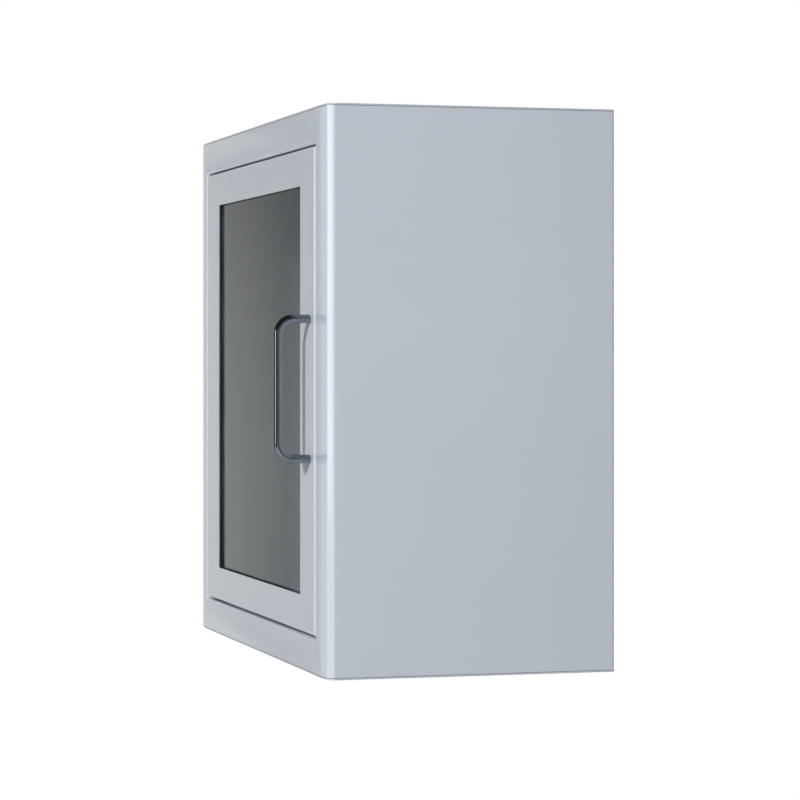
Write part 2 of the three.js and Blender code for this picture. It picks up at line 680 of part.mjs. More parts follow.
const STOP_HALF = 15;
const STOP_SHELF = 7; // past the buffer's axis
const BUFFER_RADIUS = 4;
const BUFFER_THICKNESS = 2.6;
const BUFFER_CHAMFER = 1;
const BUFFER_BARB = 2.3;
const BUFFER_BARB_LENGTH = 3;
const BUFFER_X = door.x1 - BUFFER_RADIUS - 0.5;

const bufferFront = doorRear + GAP;
const bufferRear = bufferFront + BUFFER_THICKNESS;
const shelfFront = bufferRear + GAP;
const shelfRear = shelfFront + BRACKET_SHEET;

// An angle on the frame's right return, with a hole for the buffer.
function makeStopBracket(name, height) {
  const tall = [height - STOP_HALF, height + STOP_HALF];
  const leg = block([jamb, jamb + BRACKET_SHEET], [INSIDE_SKIN, shelfRear], tall);
  const shelf = block([BUFFER_X - STOP_SHELF, jamb + BRACKET_SHEET], [shelfFront, shelfRear], tall);
  const hole = rod("Y", THREAD_HOLE, ...through(shelfFront, shelfRear), [BUFFER_X, 0, height]);
  piece(cabinet, name, cut(joined(leg, shelf), hole), zinc);
}

// A rubber button that the door closes against, held by a barb behind the angle.
function makeBuffer(name, height) {
  const barb = shelfRear + GAP;
  const profile = [
    [0, bufferFront],
    [BUFFER_RADIUS - BUFFER_CHAMFER, bufferFront],
    [BUFFER_RADIUS, bufferFront + BUFFER_CHAMFER],
    [BUFFER_RADIUS, bufferRear],
    [THREAD_RADIUS, bufferRear],
    [THREAD_RADIUS, barb],
    [BUFFER_BARB, barb],
    [THREAD_RADIUS / 2, barb + BUFFER_BARB_LENGTH],
    [0, barb + BUFFER_BARB_LENGTH],
  ];
  piece(cabinet, name, turned("Y", profile, [BUFFER_X, 0, height], 14), blackRubber);
}

// -------------------------------------------------------------------------------------------- put together

makeWrapper();
makeCap("top_panel", 1);
makeCap("bottom_panel", -1);
makeBackPanel();
makeHingeBracket("upper_hinge_bracket", 1);
makeHingeBracket("lower_hinge_bracket", -1);
makeBush("upper_hinge_bush", door.z1 + GAP, opening.z1 - GAP, opening.z1 + BUSH_LENGTH);
makeBush("lower_hinge_bush", door.z0 - GAP, opening.z0 + GAP, opening.z0 - BUSH_LENGTH);
makeCatch();
makeCatchBracket();
for (const [which, end] of Object.entries(bothEnds)) {
  makeStopBracket(`${which}_stop_bracket`, end * STOP_HEIGHT);
  makeBuffer(`${which}_door_buffer`, end * STOP_HEIGHT);
}

makeDoorPanel();
makeGlazing();
Object.keys(STUDS).forEach(makeRetainer);
makeNuts();
makeHandle();
makeHandleFasteners();
makeStrike();
makeRivets();
makeLowerPin();
makeUpperPin();
makePinGuide();
makePinSpring();

const standpipeCabinet = new THREE.Group();
standpipeCabinet.add(cabinet, doorLeaf);
export default standpipeCabinet;
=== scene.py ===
import math

import bmesh
import bpy
from mathutils import Matrix, Vector


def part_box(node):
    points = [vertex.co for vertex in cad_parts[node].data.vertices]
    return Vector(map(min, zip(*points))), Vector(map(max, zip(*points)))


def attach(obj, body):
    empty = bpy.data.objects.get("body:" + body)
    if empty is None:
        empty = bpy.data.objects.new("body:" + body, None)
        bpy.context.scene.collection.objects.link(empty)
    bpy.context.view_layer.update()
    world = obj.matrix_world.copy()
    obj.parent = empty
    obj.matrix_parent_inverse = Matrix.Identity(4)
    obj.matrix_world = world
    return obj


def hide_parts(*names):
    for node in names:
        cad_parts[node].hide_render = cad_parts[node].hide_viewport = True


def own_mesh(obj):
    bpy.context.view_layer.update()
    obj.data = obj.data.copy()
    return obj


# Surface-mounted wall cabinet in folded sheet steel with a flush glazed door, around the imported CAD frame.
# Shapes are worked out in millimetres, in the frame's axes: +X right, +Y into the wall, +Z up.
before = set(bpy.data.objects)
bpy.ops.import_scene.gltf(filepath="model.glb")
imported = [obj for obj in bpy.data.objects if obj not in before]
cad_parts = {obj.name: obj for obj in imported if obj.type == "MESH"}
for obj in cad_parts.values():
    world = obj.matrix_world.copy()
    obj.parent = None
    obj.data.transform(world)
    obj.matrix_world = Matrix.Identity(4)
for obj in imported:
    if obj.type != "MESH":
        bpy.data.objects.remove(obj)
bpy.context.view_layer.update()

MM = 0.001

# --------------------------------------------------------------------------------------- driving dimensions

SHEET = 1.2
BEND = 0.5  # inside radius of a fold in the sheet
SEAM = 0.3  # between separate pieces that touch
WELD = 0.01  # corners of a skin closer than this are one
BRACKET_SHEET = 1.5
BRACKET_BEND = 0.8

CORNER_BEND = 2.4  # front vertical corners: two bends
CORNER_LAND = 3.7  # with a narrow flat between them
CORNER_TURN = math.radians(45)  # how far the flat turns from the front
TIGHTEST_BEND = 0.3  # of the same corner on the caps' flanges, further in than the bends' centres
FACET_WIDTH = 19.5
FACET_ANGLE = math.radians(4)
EDGE_RADIUS = 2.0
CAP_ROUNDING = 1.1
CAP_BREAK = 0.12  # by which the cap's lower edge is set in
CAP_FLANGE = 12.0
REAR_FLANGE = 16.0
FRAME_RETURN = 12.0
FRAME_EDGE = 4.0  # of flat beside the fold round the opening

DOOR_DEPTH = 14.0
DOOR_LIP = 8.0
DOOR_SKIN = 6.0  # of flat beside the folds round the door
RETAINER_LIP = 1.5
RETAINER_FOOT = 9.0
RETAINER_BEND = 0.4
PANE_OVERLAP = 8.0
THREAD_RADIUS = 1.5
THREAD_HOLE = 1.8
THREAD_PITCH = 0.5
THREAD_DEPTH = 0.28
STUD_LENGTH = 8.0
NUT_ACROSS = 5.5  # its flats

HANDLE_BEND = 10.5
HANDLE_TAPPED = 10.0
CATCH_TAPPED = 9.0
CATCH_FLOOR = 4.0  # behind its mouth
STRIKE_CORNER = 1.2
CATCH_CORNER = 1.0
PIN_HOLE = 2.3
BUSH_HOLE = 3.5
BUSH_LENGTH = 4.8  # from the frame's edge of the opening
PIN_RADIUS = 2.0
PIN_HEAD = 3.3  # radius of the lower pin's head and the upper pin's collar
PIN_HEAD_HEIGHT = 2.0
PIN_BEND = 4.0
GUIDE_EAR = 128.0  # height of the ear that guides the upper pin
DOOR_GAP_LEFT = 2.0

KEYHOLE_PLACES = [(x, z) for x in (-150, 150) for z in (-120, 120)]
KEYHOLE_HEAD = 5.5
KEYHOLE_NECK = 2.8
KEYHOLE_RISE = 12.0

DRILL_REACH = 4.0  # of a drill on each side of a sheet's face
DRILL_OVER = 1.0  # of a drill past the end of its material

ARC_STEP = math.radians(9)
ARC_ROUNDING = 0.01  # of a step that a corner's turn may be over by, from rounding
BEND_STEPS = 12
SMOOTH_ANGLE = math.radians(32)
ROUND_SIDES = 48

# -------------------------------------------------------------------------------------- places in the frame


class Box:
    """A CAD node's box at rest, in millimetres."""

    def __init__(self, node):
        low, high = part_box(node)
        self.x0, self.y0, self.z0 = (c / MM for c in low)
        self.x1, self.y1, self.z1 = (c / MM for c in high)
        self.x = (self.x0 + self.x1) / 2
        self.y = (self.y0 + self.y1) / 2
        self.z = (self.z0 + self.z1) / 2


shell = Box("wrapper")
cap = Box("top_panel")
door = Box("door_panel")
gasket = Box("window_gasket")
pane = Box("window_pane")
bush = Box("upper_hinge_bush")
grip = Box("handle")
pivot = (bush.x, bush.y)
FRONT = shell.y0
SIDE = shell.x1
INSIDE = FRONT + SHEET + SEAM

# --------------------------------------------------------------------------------------------- mesh helpers


def place(axis, u, v, along):
    """A point of a section drawn in the plane across an axis, at a distance along that axis."""
    return {"X": (along, u, v), "Y": (u, along, v), "Z": (u, v, along)}[axis]


def rounded(corners, closed=True):
    """The points of an outline from corners (u, v, radius), with an arc at each corner that has a radius."""
    line = []
    for i, (u, v, radius) in enumerate(corners):
        here = Vector((u, v))
        if not radius or (not closed and i in (0, len(corners) - 1)):
            line.append(here)
            continue
        back = (Vector(corners[i - 1][:2]) - here).normalized()
        on = (Vector(corners[(i + 1) % len(corners)][:2]) - here).normalized()
        half = back.angle(on) / 2
        centre = here + (back + on).normalized() * (radius / math.sin(half))
        start = here + back * (radius / math.tan(half)) - centre
        end = here + on * (radius / math.tan(half)) - centre
        turn = math.atan2(start.cross(end), start.dot(end))
        steps = max(2, math.ceil(abs(turn) / ARC_STEP - ARC_ROUNDING))
        line += [centre + Matrix.Rotation(turn * k / steps, 2) @ start for k in range(steps + 1)]
    return line


def beside(points, distance):
    """The corners of an open line, moved to its left by a distance."""
    moved = []
    for i, here in enumerate(points):
        before = (here - points[i - 1]).normalized() if i else None
        after = (points[i + 1] - here).normalized() if i < len(points) - 1 else None
        sides = [Vector((-way.y, way.x)) for way in (before, after) if way]
        middle = sum(sides, Vector((0, 0))).normalized()
        moved.append(here + middle * (distance / middle.dot(sides[0])))
    return moved


def folded(line, thickness, bend=BEND):
    """The closed outline of a sheet folded along a line, with its thickness on the line's left."""
    points = [Vector(p) for p in line]
    inner = beside(points, thickness)
    near, far = [], []
    for i, (a, b) in enumerate(zip(points, inner)):
        turns = 0 < i < len(points) - 1
        left = turns and (points[i] - points[i - 1]).cross(points[i + 1] - points[i]) > 0
        near.append((a.x, a.y, (bend + thickness if left else bend) if turns else 0))
        far.append((b.x, b.y, (bend if left else bend + thickness) if turns else 0))
    return rounded(near, closed=False) + rounded(far, closed=False)[::-1]


def skin(rows, joined=False, capped=True):
    """Points and faces of a surface through rows of points, each row a closed loop."""
    points = [p for row in rows for p in row]
    count = len(rows[0])
    faces = []
    for r in range(len(rows) if joined else len(rows) - 1):
        a, b = r * count, (r + 1) % len(rows) * count
        faces += [(a + i, a + (i + 1) % count, b + (i + 1) % count, b + i) for i in range(count)]
    if capped and not joined:
        faces += [tuple(range(count))[::-1], tuple(range(len(points) - count, len(points)))]
    return points, faces


def prism(axis, outline, start, end):
    return skin([[place(axis, *p, along) for p in outline] for along in (start, end)])


def block(x, y, z):
    return prism("Z", [(x[0], y[0]), (x[1], y[0]), (x[1], y[1]), (x[0], y[1])], *z)


def turned(axis, corners, at, sides=ROUND_SIDES):
    """A solid of revolution from corners (radius, place along the axis, rounding), starting and ending on the
    axis, or closed on itself if no corner is on it."""
    ring = min(radius for radius, *_ in corners) > 0
    line = [p for p in rounded(corners, closed=ring) if p.x > 1e-6]
    rows = []
    for p in line:
        turns = [2 * math.pi * k / sides for k in range(sides)]
        rows.append([place(axis, p.x * math.cos(t) + at[0], p.x * math.sin(t) + at[1], p.y) for t in turns])
    return skin(rows, joined=ring)


def rectangle(box, y):
    """The corners of a rectangle (x0, x1, z0, z1) across the Y axis."""
    x0, x1, z0, z1 = box
    return [(x0, y, z0), (x1, y, z0), (x1, y, z1), (x0, y, z1)]


def around(box, section):
    """A frame: a closed section of points (out, y) carried round a rectangle (x0, x1, z0, z1)."""
    x0, x1, z0, z1 = box
    rows = []
    for out, y in section:
        left, right, low, high = x0 - out, x1 + out, z0 - out, z1 + out
        rows.append(rectangle((left, right, low, high), y))
    return skin(rows, joined=True)


def swept(route, radius_at, sides=ROUND_SIDES):
    """A round bar along a route of 3-D points. radius_at gives its radius from the share of the route."""
    rows = []
    side = None
    for i, here in enumerate(route):
        way = (route[min(i + 1, len(route) - 1)] - route[max(i - 1, 0)]).normalized()
        if side is None:
            side = way.orthogonal().normalized()
        side = (side - way * side.dot(way)).normalized()
        other = way.cross(side)
        radius = radius_at(i / (len(route) - 1))
        turns = [2 * math.pi * k / sides for k in range(sides)]
        rows.append([here + (side * math.cos(t) + other * math.sin(t)) * radius for t in turns])
    return skin(rows)


def threaded(axis, radius, depth, start, end, at, sides=24, steps_per_turn=6):
    """A screw thread: a rod whose surface goes in and out by the thread's depth along a helix."""
    steps = round((end - start) / THREAD_PITCH * steps_per_turn)
    rows = []
    for s in range(steps + 1):
        along = start + (end - start) * s / steps
        row = []
        for k in range(sides):
            turn = 2 * math.pi * k / sides
            phase = (along - start) / THREAD_PITCH - k / sides
            reach = radius - depth * abs(2 * (phase % 1) - 1)
            row.append(place(axis, at[0] + reach * math.cos(turn), at[1] + reach * math.sin(turn), along))
        rows.append(row)
    return skin(rows)


def bent_route(corners, radius, step=1.0):
    """3-D points along straight lengths joined by bends of one radius."""
    route = [Vector(corners[0])]
    for before, here, after in zip(corners, corners[1:], corners[2:]):
        here = Vector(here)
        back = (Vector(before) - here).normalized()
        on = (Vector(after) - here).normalized()
        half = back.angle(on) / 2
        centre = here + (back + on).normalized() * (radius / math.sin(half))
        start = here + back * (radius / math.tan(half)) - centre
        turn = math.pi - 2 * half
        axis = start.cross(here - centre)
        spins = [Matrix.Rotation(turn * k / BEND_STEPS, 3, axis) for k in range(BEND_STEPS + 1)]
        arc = [centre + spin @ start for spin in spins]
        route += straight(route[-1], arc[0], step)[1:-1] + arc
    return route + straight(route[-1], Vector(corners[-1]), step)[1:]


def straight(start, end, step):
    count = max(1, round((end - start).length / step))
    return [start.lerp(end, k / count) for k in range(count + 1)]


def mesh_of(parts):
    """One mesh in metres from several (points, faces) in millimetres, its faces pointing out."""
    mesh = bmesh.new()
    for points, faces in parts:
        made = [mesh.verts.new(Vector(p) * MM) for p in points]
        for face in faces:
            mesh.faces.new([made[i] for i in face])
    bmesh.ops.recalc_face_normals(mesh, faces=mesh.faces)
    return mesh


def settle(obj):
    """Replaces an object's mesh with what its modifiers make of it."""
    graph = bpy.context.evaluated_depsgraph_get()
    mesh = bpy.data.meshes.new_from_object(obj.evaluated_get(graph))
    obj.modifiers.clear()
    obj.data = mesh


def object_of(name, mesh):
    data = bpy.data.meshes.new(name)
    mesh.to_mesh(data)
    mesh.free()
    obj = bpy.data.objects.new(name, data)
    bpy.context.scene.collection.objects.link(obj)
    return obj


def bored(obj, cutters):
    """Cuts each solid in cutters out of an object."""
    tool = object_of("cutter", mesh_of(cutters))
    cut = obj.modifiers.new("cut", "BOOLEAN")
    cut.operation = "DIFFERENCE"
    cut.solver = "EXACT"
    cut.use_self = len(cutters) > 1
    cut.object = tool
    settle(obj)
    bpy.data.objects.remove(tool)
    return obj


def hole(axis, radius, start, end, at, sides=40):
    """A drill: a cylinder, from one place on its axis to another."""
    return turned(axis, [(0, start, 0), (radius, start, 0), (radius, end, 0), (0, end, 0)], at, sides)


def through(axis, radius, face, at, before=DRILL_REACH, beyond=DRILL_REACH):
    """A drill right through a sheet with a face at this place on the drill's axis."""
    return hole(axis, radius, face - before, face + beyond, at)


def add_piece(name, obj, body, material, nodes=(), edge=0.0):
    """Finishes an object as a piece of the part: edge rounds its sharp edges by that many millimetres."""
    obj.name = name
    obj.data.name = name
    obj.data.materials.clear()
    obj.data.materials.append(material)
    obj.data.shade_smooth()
    obj.data.set_sharp_from_angle(angle=SMOOTH_ANGLE)
    if edge:
        bevel = obj.modifiers.new("edges", "BEVEL")
        bevel.width = edge * MM
        bevel.segments = 2
        bevel.limit_method = "ANGLE"
        bevel.angle_limit = math.radians(45)
        bevel.use_clamp_overlap = True
    flat = obj.modifiers.new("flat faces", "WEIGHTED_NORMAL")
    flat.keep_sharp = True
    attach(obj, body)
    if nodes:
        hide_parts(*nodes)
    return obj


def add_solid(name, parts, body, material, nodes=None, edge=0.0, cutters=()):
    """A piece from (points, faces) parts. It stands for the CAD node of its own name, or for nodes."""
    obj = object_of(name, mesh_of(parts))
    if cutters:
        bored(obj, cutters)
    return add_piece(name, obj, body, material, (name,) if nodes is None else nodes, edge)


# ------------------------------------------------------------------------------------------------ materials


class Nodes:
    """A material's node tree, built one named value at a time."""

    def __init__(self, name, base, roughness, metallic=0.0, **settings):
        self.material = bpy.data.materials.new(name)
        self.material.use_nodes = True
        self.tree = self.material.node_tree
        self.shader = self.tree.nodes["Principled BSDF"]
        self.place = self.add("ShaderNodeTexCoord").outputs["Object"]
        self.set("Base Color", (*base, 1))
        self.set("Roughness", roughness)
        self.set("Metallic", metallic)
        for socket, value in settings.items():
            self.set(socket.replace("_", " "), value)
        self.material.diffuse_color = (*base, 1)

    def add(self, kind, **properties):
        node = self.tree.nodes.new(kind)
        for key, value in properties.items():
            setattr(node, key, value)
        return node

    def set(self, socket, value):
        self.shader.inputs[socket].default_value = value

    def link(self, output, socket):
        self.tree.links.new(output, socket)

    def noise(self, per_metre, detail=2.0, roughness=0.5, stretch=(1, 1, 1)):
        """Noise with so many features in a metre, drawn out along an axis where stretch is below 1."""
        scaled = self.add("ShaderNodeMapping")
        scaled.inputs["Scale"].default_value = stretch
        self.link(self.place, scaled.inputs["Vector"])
        made = self.add("ShaderNodeTexNoise")
        made.inputs["Scale"].default_value = per_metre
        made.inputs["Detail"].default_value = detail
        made.inputs["Roughness"].default_value = roughness
        self.link(scaled.outputs[0], made.inputs["Vector"])
        return made.outputs["Fac"]

    def vary(self, socket, source, low, high):
        """Lets a number follow a noise, between low and high."""
        spread = self.add("ShaderNodeMapRange")
        spread.inputs["From Min"].default_value = 0.3
        spread.inputs["From Max"].default_value = 0.7
        spread.inputs["To Min"].default_value = low
        spread.inputs["To Max"].default_value = high
        self.link(source, spread.inputs["Value"])
        self.link(spread.outputs[0], self.shader.inputs[socket])

    def tint(self, source, low, high):
        """Lets the colour follow a noise, between two colours."""
        ramp = self.add("ShaderNodeValToRGB")
        ramp.color_ramp.elements[0].position = 0.3
        ramp.color_ramp.elements[1].position = 0.7
        ramp.color_ramp.elements[0].color = (*low, 1)
        ramp.color_ramp.elements[1].color = (*high, 1)
        self.link(source, ramp.inputs["Fac"])
        self.link(ramp.outputs["Color"], self.shader.inputs["Base Color"])

    def relief(self, layers):
        """Raises the surface by layers of (noise, height in metres)."""
        normal = None
        for source, height in layers:
            bump = self.add("ShaderNodeBump")
            bump.inputs["Distance"].default_value = height
            self.link(source, bump.inputs["Height"])
            if normal:
                self.link(normal, bump.inputs["Normal"])
            normal = bump.outputs["Normal"]
        self.link(normal, self.shader.inputs["Normal"])


def shade(colour, by):
    return tuple(c * by for c in colour)


PAINT = (0.635, 0.695, 0.765)


def make_paint():
    """Smooth gloss powder coat: a shallow orange peel, with a finer ripple in its gloss."""
    paint = Nodes("powder_coat", PAINT, 0.15, Coat_Weight=0.6, Coat_Roughness=0.08, IOR=1.5)
    peel = paint.noise(330, detail=1.5)
    clouds = paint.noise(9, detail=3)
    paint.tint(clouds, shade(PAINT, 0.992), shade(PAINT, 1.008))
    paint.vary("Roughness", paint.noise(60, detail=4), 0.13, 0.17)
    paint.relief([(peel, 0.000012), (paint.noise(1500, detail=1), 0.0000012)])
    return paint.material


STEEL = (0.265, 0.30, 0.345)


def make_steel():
    """Satin steel with a fine grain round the bar."""
    steel = Nodes("satin_steel", STEEL, 0.2, metallic=1.0)
    grain = steel.noise(900, detail=3, stretch=(1, 1, 6))
    steel.tint(steel.noise(40, detail=3), shade(STEEL, 0.95), shade(STEEL, 1.04))
    steel.vary("Roughness", steel.noise(260, detail=4), 0.17, 0.23)
    steel.relief([(grain, 0.000004)])
    return steel.material


ZINC = (0.66, 0.68, 0.69)


def make_zinc():
    """Bright zinc plate: a faint bluish and straw-coloured passivation, with a matt grain."""
    zinc = Nodes("zinc_plate", ZINC, 0.36, metallic=1.0)
    zinc.tint(zinc.noise(75, detail=4), (0.60, 0.635, 0.67), (0.70, 0.69, 0.65))
    zinc.vary("Roughness", zinc.noise(320, detail=5), 0.29, 0.44)
    zinc.relief([(zinc.noise(1400, detail=3), 0.000005)])
    return zinc.material


RUBBER = (0.018, 0.018, 0.020)


def make_rubber():
    """Matt black rubber with the dusty bloom that extruded seals have."""
    rubber = Nodes("black_rubber", RUBBER, 0.62)
    rubber.set("Specular IOR Level", 0.35)
    rubber.tint(rubber.noise(120, detail=5), RUBBER, (0.032, 0.032, 0.034))
    rubber.vary("Roughness", rubber.noise(400, detail=4), 0.55, 0.72)
    rubber.relief([(rubber.noise(1800, detail=3), 0.00001)])
    return rubber.material


NYLON = (0.20, 0.205, 0.21)


def make_nylon():
    """Moulded grey nylon: waxy, with a spark-eroded texture."""
    nylon = Nodes("moulded_nylon", NYLON, 0.45, Subsurface_Weight=0.25, Subsurface_Scale=0.002)
    nylon.tint(nylon.noise(90, detail=3), shade(NYLON, 0.96), shade(NYLON, 1.02))
    nylon.vary("Roughness", nylon.noise(500, detail=3), 0.40, 0.52)
    nylon.relief([(nylon.noise(2200, detail=2), 0.000008)])
    return nylon.material


FERRITE = (0.055, 0.054, 0.056)


def make_ferrite():
    """Sintered ferrite: dark grey, granular, with ground faces."""
    ferrite = Nodes("sintered_ferrite", FERRITE, 0.55, metallic=0.3)
    ferrite.tint(ferrite.noise(1300, detail=4), shade(FERRITE, 0.7), shade(FERRITE, 1.5))
    ferrite.vary("Roughness", ferrite.noise(700, detail=4), 0.45, 0.68)
    ferrite.relief([(ferrite.noise(1600, detail=4), 0.00002)])
    return ferrite.material


GLASS = (0.60, 0.645, 0.645)


def make_glass():
    """Clear sheet with a slight grey-green tint. Lamps and soft light reach the inside through it."""
    glass = Nodes("clear_pane", GLASS, 0.0, Transmission_Weight=1.0, IOR=1.5)
    glass.relief([(glass.noise(16, detail=1), 0.00002)])
    tree = glass.tree
    path = glass.add("ShaderNodeLightPath")
    either = glass.add("ShaderNodeMath", operation="MAXIMUM")
    clear = glass.add("ShaderNodeBsdfTransparent")
    clear.inputs["Color"].default_value = (*shade(GLASS, 0.97), 1)
    mixed = glass.add("ShaderNodeMixShader")
    glass.link(path.outputs["Is Shadow Ray"], either.inputs[0])
    glass.link(path.outputs["Is Diffuse Ray"], either.inputs[1])
    glass.link(either.outputs[0], mixed.inputs["Fac"])
    glass.link(glass.shader.outputs[0], mixed.inputs[1])
    glass.link(clear.outputs[0], mixed.inputs[2])
    glass.link(mixed.outputs[0], tree.nodes["Material Output"].inputs["Surface"])
    return glass.material


paint = make_paint()
steel = make_steel()
zinc = make_zinc()
rubber = make_rubber()
nylon = make_nylon()
ferrite = make_ferrite()
glass = make_glass()

# ----------------------------------------------------------------------------------------------- the casing


def frame_opening():
    """The frame's opening (x0, x1, z0, z1), from the door, the stop bracket and the bushes."""
    left = door.x0 - DOOR_GAP_LEFT
    right = Box("upper_stop_bracket").x1 - BRACKET_SHEET - SEAM - SHEET
    bottom = Box("lower_hinge_bush").z0 + BUSH_LENGTH
    top = Box("upper_hinge_bush").z1 - BUSH_LENGTH
    return (left, right, bottom, top)


opening = frame_opening()


def corner_line(inset):
    """The facet and the front corner on the right, seen from above, a distance inside the outer surface. The
    corner's land runs on to the two corners that its bends round."""
    side, front, bend = SIDE - inset, FRONT + inset, CORNER_BEND - inset
    radius = max(bend, TIGHTEST_BEND)
    facet = SIDE - FACET_WIDTH
    turns = (CORNER_TURN - FACET_ANGLE, math.pi / 2 - CORNER_TURN)
    land = CORNER_LAND + bend * sum(math.tan(turn / 2) for turn in turns)
    land_x = side - land * math.cos(CORNER_TURN)
    land_y = front + (land_x - facet) * math.tan(FACET_ANGLE)
    side_y = land_y + land * math.sin(CORNER_TURN)
    return [(facet, front, 0), (land_x, land_y, radius), (side, side_y, radius)]


def side_line(sign):
    """The wrapper's outer skin seen from above, from the start of the facet to the end of the rear flange."""
    line = [*corner_line(0), (SIDE, 0, EDGE_RADIUS), (SIDE - REAR_FLANGE, 0, 0)]
    return [(sign * p.x, p.y) for p in rounded(line, closed=False)]


def make_wrapper():
    """Its outer skin: the flange round the opening, the front, and a side folded back at each end."""
    x0, x1, z0, z1 = opening
    line = [(0, FRONT + FRAME_RETURN, 0), (0, FRONT, BEND + SHEET), (FRAME_EDGE, FRONT, 0)]
    rows = []
    for p in rounded(line, closed=False):
        rows.append(rectangle((x0 - p.x, x1 + p.x, z0 - p.x, z1 + p.x), p.y))
    facet = SIDE - FACET_WIDTH
    ends = (shell.z0, shell.z1)
    rows.append(rectangle((-facet, facet, *ends), FRONT))
    parts = [skin(rows, capped=False)]
    for sign in (-1, 1):
        line = side_line(sign)
        points = [(x, y, z) for z in ends for x, y in line]
        count = len(line)
        parts.append((points, [(i, i + 1, count + i + 1, count + i) for i in range(count - 1)]))
    mesh = mesh_of(parts)
    bmesh.ops.remove_doubles(mesh, verts=mesh.verts, dist=WELD * MM)
    bmesh.ops.recalc_face_normals(mesh, faces=mesh.faces)
    mesh.faces.ensure_lookup_table()
    outermost = max(mesh.faces, key=lambda face: face.calc_center_median().x)
    if outermost.normal.x < 0:
        bmesh.ops.reverse_faces(mesh, faces=mesh.faces)
    obj = object_of("wrapper", mesh)
    thicken = obj.modifiers.new("sheet", "SOLIDIFY")
    thicken.thickness = SHEET * MM
    thicken.offset = -1
    thicken.use_even_offset = True
    settle(obj)
    drills = [through("Z", BUSH_HOLE, z, pivot) for z in (z0, z1)]
    add_piece("wrapper", bored(obj, drills), "cabinet", paint, ["wrapper"], edge=0.15)


def plan(inset):
    """The cabinet seen from above, a distance inside its outer surface."""
    side, rear = SIDE - inset, max(EDGE_RADIUS - inset, 0.2)
    right = corner_line(inset)
    left = [(-x, y, radius) for x, y, radius in right[::-1]]
    return rounded([(side, -inset, rear), (-side, -inset, rear), *left, *right])


def make_cap(name, end):
    """A plate over the end of the wrapper, its edge rounded, with a flange that fits inside the wrapper."""
    top, under = cap.z1, cap.z1 - SHEET
    steps = 6
    turns = [math.pi / 2 * k / steps for k in range(steps + 1)]
    rounding = [(CAP_ROUNDING * (1 - math.sin(t)), top - CAP_ROUNDING * (1 - math.cos(t))) for t in turns]
    foot = under + SEAM / 2 - CAP_FLANGE
    outer, inner = SHEET + SEAM, 2 * SHEET + SEAM
    section = rounding + [(CAP_BREAK, under), (outer, under), (outer, foot), (inner, foot), (inner, under)]
    rows = [[(p.x, p.y, end * z) for p in plan(inset)] for inset, z in section]
    add_solid(name, [skin(rows)], "cabinet", paint, edge=0.12)


def keyhole(x, z):
    """A hole for a screw's head with a neck above it that the screw hangs in."""
    rise = z + KEYHOLE_RISE
    meet = math.sqrt(KEYHOLE_HEAD**2 - KEYHOLE_NECK**2)
    start = math.atan2(meet, -KEYHOLE_NECK)
    sweep = 2 * math.pi - 2 * (start - math.pi / 2)
    steps, neck_steps = 36, 18
    turns = [start + sweep * k / steps for k in range(steps + 1)]
    head = [(x + KEYHOLE_HEAD * math.cos(t), z + KEYHOLE_HEAD * math.sin(t)) for t in turns]
    arc = [math.pi * k / neck_steps for k in range(neck_steps + 1)]
    neck = [(x + KEYHOLE_NECK * math.cos(t), rise + KEYHOLE_NECK * math.sin(t)) for t in arc]
    return prism("Y", head + neck, -2 * SHEET, SHEET)


def make_back_panel():
    """A flat field flush with the wrapper's rear flanges, with a joggled rim in front of each of them."""
    box = Box("back_panel")
    edge = SIDE - REAR_FLANGE - SEAM
    step = SHEET + SEAM
    rim = [(edge - step, 0), (edge, -step), (box.x1, -step)]
    line = [(-x, y) for x, y in rim[::-1]] + rim
    tall = shell.z1 - CAP_FLANGE
    section = folded(line[::-1], SHEET)
    middle = prism("Z", section, -tall, tall)
    obj = object_of("back_panel", mesh_of([middle]))
    ends = [block((-edge, edge), (-SHEET, 0), (sign * tall, sign * shell.z1)) for sign in (-1, 1)]
    joined_to(obj, ends)
    bored(obj, [keyhole(x, z) for x, z in KEYHOLE_PLACES])
    add_piece("back_panel", obj, "cabinet", paint, ["back_panel"], edge=0.15)


def joined_to(obj, parts):
    """Joins solids to an object."""
    for part in parts:
        tool = object_of("joined", mesh_of([part]))
        union = obj.modifiers.new("join", "BOOLEAN")
        union.operation = "UNION"
        union.solver = "EXACT"
        union.object = tool
        settle(obj)
        bpy.data.objects.remove(tool)
    return obj


make_wrapper()
make_cap("top_panel", 1)
make_cap("bottom_panel", -1)
make_back_panel()

# ----------------------------------------------------------------------------------------------- the hinges


def make_hinge_bracket(name, end):
    """A folded angle that stiffens the frame's return round a bush."""
    box = Box(name)
    seat = box.z0 if end > 0 else box.z1
    far = box.z1 if end > 0 else box.z0
    line = [(box.y0, seat), (box.y1, seat), (box.y1, far)]
    section = folded(line if end > 0 else line[::-1], BRACKET_SHEET, BRACKET_BEND)
    drill = through("Z", BUSH_HOLE, seat, pivot)
    add_solid(name, [prism("X", section, box.x0, box.x1)], "cabinet", zinc, edge=0.2, cutters=[drill])


def make_bush(name, end):
    """A nylon bush with a collar in the gap between the door and the frame."""
    box = Box(name)
    collar_radius, body_radius = 4.5, 3.2
    face = box.z0 if end > 0 else box.z1
    tip = box.z1 if end > 0 else box.z0
    seat = (opening[3] if end > 0 else opening[2]) - end * SEAM
    corners = [(PIN_HOLE, face, 0.2), (collar_radius, face, 0.3), (collar_radius, seat, 0.15),
               (body_radius, seat, 0.1), (body_radius, tip, 0.4), (PIN_HOLE, tip, 0.2)]
    add_solid(name, [turned("Z", corners, pivot)], "cabinet", nylon)


